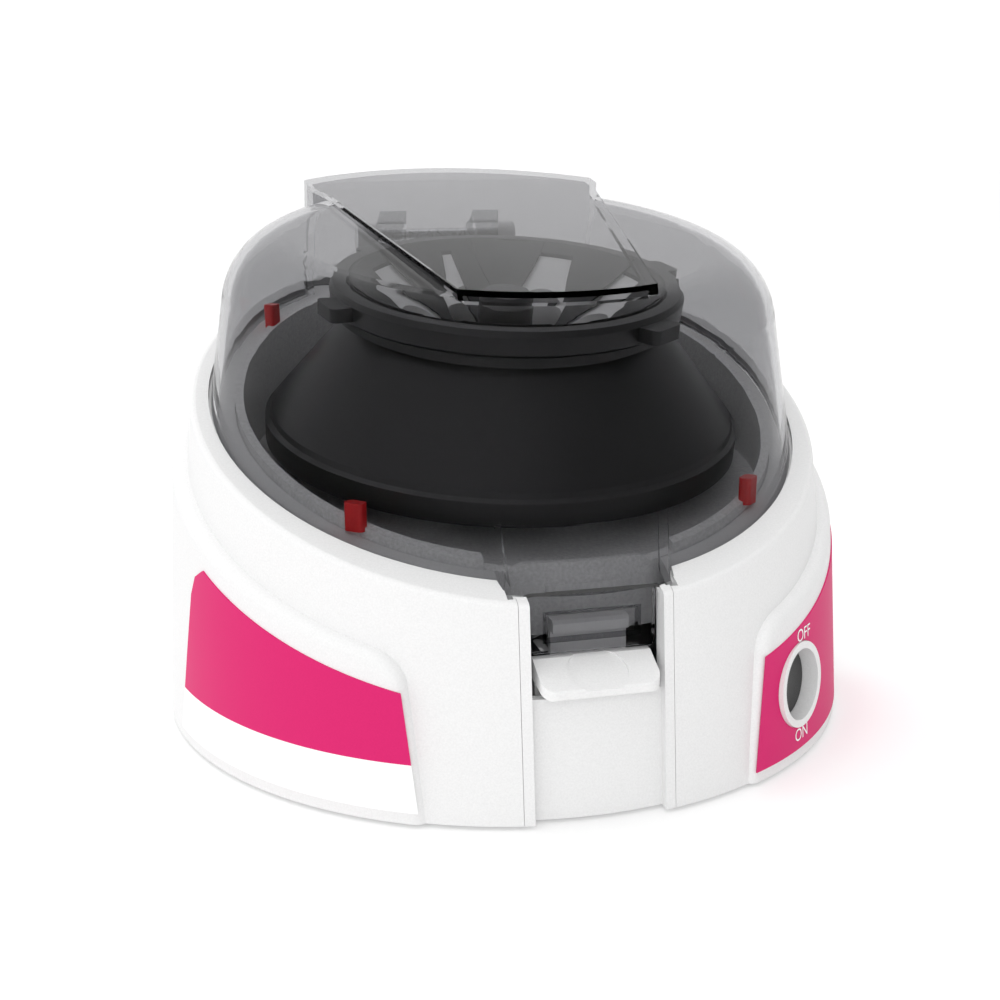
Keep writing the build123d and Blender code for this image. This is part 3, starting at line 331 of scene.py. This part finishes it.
def wrap_words(name, words, angle, height, surface):
    """Flat lettering bent onto the round side, its centre at an angle from -Y."""
    curve = bpy.data.curves.new(name, "FONT")
    curve.body = words
    curve.size = WORD_SIZE * MM
    curve.align_x = "CENTER"
    curve.align_y = "CENTER"
    text = bpy.data.objects.new(name + "_flat", curve)
    bpy.context.scene.collection.objects.link(text)
    bpy.context.view_layer.update()
    flat = bpy.data.meshes.new_from_object(text)
    bpy.data.objects.remove(text)
    bm = bmesh.new()
    bm.from_mesh(flat)
    bpy.data.meshes.remove(flat)
    bmesh.ops.triangulate(bm, faces=bm.faces)
    bmesh.ops.subdivide_edges(bm, edges=bm.edges, cuts=1)
    for vertex in bm.verts:
        turn = math.radians(angle) + vertex.co.x / (PAD_R * MM)
        outward = Vector((math.sin(turn), -math.cos(turn), 0))
        level = Vector((0, 0, height * MM + vertex.co.y))
        hit = surface.ray_cast(level + outward * 2 * PAD_R * MM, -outward)[0]
        if hit is None:
            hit = level + outward * PAD_R * MM
        vertex.co = hit + outward * WORD_PROUD * MM
    add_piece(name, bm, label_white, "base")


for index in range(WEBS):
    web_skin(index)
tongue_low, tongue_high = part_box("lid_tongue")
window_pane(tongue_low[1])
# Black strip on the lid that paints the shade line along its front foot.
foot_line(tongue_low[1], tongue_high[2])
right_label = surface_of("label_right")
for name, words, angle, height in WORDS:
    wrap_words(name, words, angle, height, right_label)


# Stage, light and camera.


def pale_floor():
    """Large white floor that glows a little, so that it stays white round the object."""
    material, tree, shader = new_material("floor_pale")
    mottle(tree, shader, add_noise(tree, 30, 2.0), 0.0, 1.0, grey(0.80), grey(0.83))
    shader.inputs["Roughness"].default_value = 0.8
    shader.inputs["Emission Color"].default_value = (1, 1, 1, 1)
    shader.inputs["Emission Strength"].default_value = FLOOR_GLOW
    bm = bmesh.new()
    bmesh.ops.create_grid(bm, x_segments=2, y_segments=2, size=FLOOR_HALF)
    mesh = bpy.data.meshes.new("floor")
    bm.to_mesh(mesh)
    bm.free()
    mesh.materials.append(material)
    floor = bpy.data.objects.new("floor", mesh)
    bpy.context.scene.collection.objects.link(floor)


def white_sky():
    """White surroundings that light the right-hand side a little less."""
    world = bpy.data.worlds.new("studio")
    bpy.context.scene.world = world
    world.use_nodes = True
    tree = world.node_tree
    background = tree.nodes["Background"]
    background.inputs["Strength"].default_value = SKY_STRENGTH
    coords = tree.nodes.new("ShaderNodeTexCoord")
    facing = tree.nodes.new("ShaderNodeVectorMath")
    facing.operation = "DOT_PRODUCT"
    facing.inputs[1].default_value = SKY_SHADE_SIDE
    shade = tree.nodes.new("ShaderNodeMapRange")
    shade.inputs["From Min"].default_value = 0.0
    shade.inputs["From Max"].default_value = SKY_SHADE_FULL_AT
    shade.inputs["To Min"].default_value = 1.0
    shade.inputs["To Max"].default_value = SKY_SHADE
    tree.links.new(coords.outputs["Generated"], facing.inputs[0])
    tree.links.new(facing.outputs["Value"], shade.inputs["Value"])
    seen = tree.nodes.new("ShaderNodeLightPath")
    whole = tree.nodes.new("ShaderNodeMath")
    whole.operation = "MAXIMUM"
    tree.links.new(seen.outputs["Is Camera Ray"], whole.inputs[0])
    tree.links.new(shade.outputs["Result"], whole.inputs[1])
    tree.links.new(whole.outputs["Value"], background.inputs["Color"])


def aimed(obj, place, target):
    """Put a lamp or camera at a place, turned to a target, into the scene."""
    obj.location = place
    obj.rotation_euler = (Vector(target) - Vector(place)).to_track_quat("-Z", "Y").to_euler()
    bpy.context.scene.collection.objects.link(obj)


def soft_box(name, place, size, power):
    """Rectangular area light aimed at the object."""
    light = bpy.data.lights.new(name, "AREA")
    light.shape = "RECTANGLE"
    light.size, light.size_y = size
    light.energy = power
    aimed(bpy.data.objects.new(name, light), place, LIGHT_AIM)


def photo_camera():
    """Camera at the photograph's viewing angle."""
    lens = bpy.data.cameras.new("camera")
    lens.lens = CAMERA_LENS
    lens.shift_x = CAMERA_SHIFT_X
    lens.clip_start = 10 * MM
    camera = bpy.data.objects.new("camera", lens)
    aimed(camera, CAMERA_PLACE, CAMERA_AIM)
    bpy.context.scene.camera = camera


pale_floor()
white_sky()
for name, place, size, power in SOFT_BOXES:
    soft_box(name, place, size, power)
photo_camera()
bpy.context.scene.view_settings.view_transform = "Standard"
